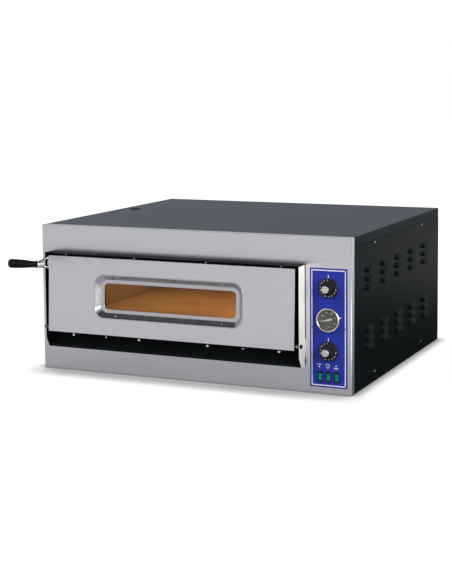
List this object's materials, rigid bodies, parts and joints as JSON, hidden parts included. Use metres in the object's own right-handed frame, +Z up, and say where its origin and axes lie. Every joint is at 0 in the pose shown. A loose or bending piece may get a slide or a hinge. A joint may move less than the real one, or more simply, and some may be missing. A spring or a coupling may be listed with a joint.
{
  "type": "deck oven",
  "caption": "Low electric deck oven with a bottom-hinged window door under a hood, a stone-floored baking chamber and a control column with knobs, gauge and switches.",
  "frame": {"origin": "middle of the flat face that the oven stands on", "axes": "+Z up; -Y is the front with the door; +X is the side with the controls"},
  "size_m": [0.9254, 0.9696, 0.4],
  "materials": {
    "front_steel": "satin",
    "dark_sheet": "satin",
    "slate_sheet": "matte",
    "black_sheet": "satin",
    "inner_steel": "satin",
    "chamber_steel": "matte",
    "refractory": "matte",
    "element_steel": "matte",
    "mineral_wool": "matte",
    "lamp_glass": "gloss",
    "bulb_glass": "gloss",
    "screw_steel": "polished",
    "blue_plate": "gloss",
    "rivet_brass": "satin",
    "control_plastic": "matte",
    "capillary_copper": "satin",
    "gauge_case_sheet": "satin",
    "bezel_steel": "polished",
    "gauge_dial": "matte",
    "clear_glass": "gloss",
    "black_plastic": "satin",
    "knob_plastic": "gloss",
    "knob_cap": "satin",
    "spindle_steel": "satin",
    "needle_white": "satin",
    "green_lens": "gloss",
    "window_steel": "polished",
    "door_glass": "gloss",
    "seal_braid": "matte",
    "bracket_steel": "satin",
    "grip_bakelite": "gloss"
  },
  "bodies": {
    "root": {"base_tray": "dark_sheet", "front_fascia": "front_steel", "top_cover": "slate_sheet", "left_side_panel": "dark_sheet", "right_side_panel": "dark_sheet", "rear_panel": "dark_sheet", "panel_screws": "screw_steel", "chamber_side_walls": "chamber_steel", "chamber_rear_wall": "chamber_steel", "chamber_ceiling": "chamber_steel", "chamber_floor_pan": "inner_steel", "mouth_frame": "inner_steel", "refractory_slabs": "refractory", "upper_elements": "element_steel", "lower_elements": "element_steel", "element_hangers": "chamber_steel", "insulation_blankets": "mineral_wool", "vapour_duct": "inner_steel", "lamp_housing": "inner_steel", "lamp_bulb": "bulb_glass", "lamp_glass": "lamp_glass", "hood_shroud": "black_sheet", "cheek_covers": "front_steel", "hood_sill": "black_sheet", "hood_screws": "screw_steel", "control_plate": "blue_plate", "control_plate_rivets": "rivet_brass", "thermostats": "control_plastic", "sensor_probes": "capillary_copper", "gauge_case": "gauge_case_sheet", "gauge_bezel": "bezel_steel", "gauge_dial": "gauge_dial", "gauge_glass": "clear_glass", "switch_housings": "black_plastic", "terminal_block": "control_plastic", "cable_gland": "black_plastic", "chamber_rails": "inner_steel", "control_bulkhead": "inner_steel"},
    "door": {"door_front_panel": "front_steel", "door_casing": "black_sheet", "door_inner_panel": "inner_steel", "door_insulation": "mineral_wool", "window_frame": "window_steel", "window_glass": "door_glass", "door_seal": "seal_braid", "handle_bracket": "bracket_steel", "handle_grip": "grip_bakelite", "pivot_bolts": "black_sheet", "pivot_spacers": "screw_steel", "window_screws": "screw_steel"},
    "upper_dial": {"upper_knob": "knob_plastic", "upper_knob_cap": "knob_cap", "upper_spindle": "spindle_steel"},
    "lower_dial": {"lower_knob": "knob_plastic", "lower_knob_cap": "knob_cap", "lower_spindle": "spindle_steel"},
    "needle": {"gauge_needle": "needle_white"},
    "left_switch": {"left_rocker": "green_lens"},
    "middle_switch": {"middle_rocker": "green_lens"},
    "right_switch": {"right_rocker": "green_lens"}
  },
  "joints": [
    {"name": "door_hinge", "type": "hinge", "parent": "root", "child": "door", "pos_m": [-0.045, -0.432, 0.1245], "axis": [1, 0, 0], "range_deg": [0, 80]},
    {"name": "upper_knob_turn", "type": "hinge", "parent": "root", "child": "upper_dial", "pos_m": [0.389, -0.396, 0.2711], "axis": [0, 1, 0], "range_deg": [0, 300]},
    {"name": "lower_knob_turn", "type": "hinge", "parent": "root", "child": "lower_dial", "pos_m": [0.389, -0.396, 0.1103], "axis": [0, 1, 0], "range_deg": [0, 300]},
    {"name": "needle_turn", "type": "hinge", "parent": "root", "child": "needle", "pos_m": [0.389, -0.398, 0.1907], "axis": [0, 1, 0], "range_deg": [0, 220]},
    {"name": "left_switch_rock", "type": "hinge", "parent": "root", "child": "left_switch", "pos_m": [0.3667, -0.39, 0.045], "axis": [-1, 0, 0], "range_deg": [0, 12]},
    {"name": "middle_switch_rock", "type": "hinge", "parent": "root", "child": "middle_switch", "pos_m": [0.389, -0.39, 0.045], "axis": [-1, 0, 0], "range_deg": [0, 12]},
    {"name": "right_switch_rock", "type": "hinge", "parent": "root", "child": "right_switch", "pos_m": [0.4113, -0.39, 0.045], "axis": [-1, 0, 0], "range_deg": [0, 12]}
  ]
}
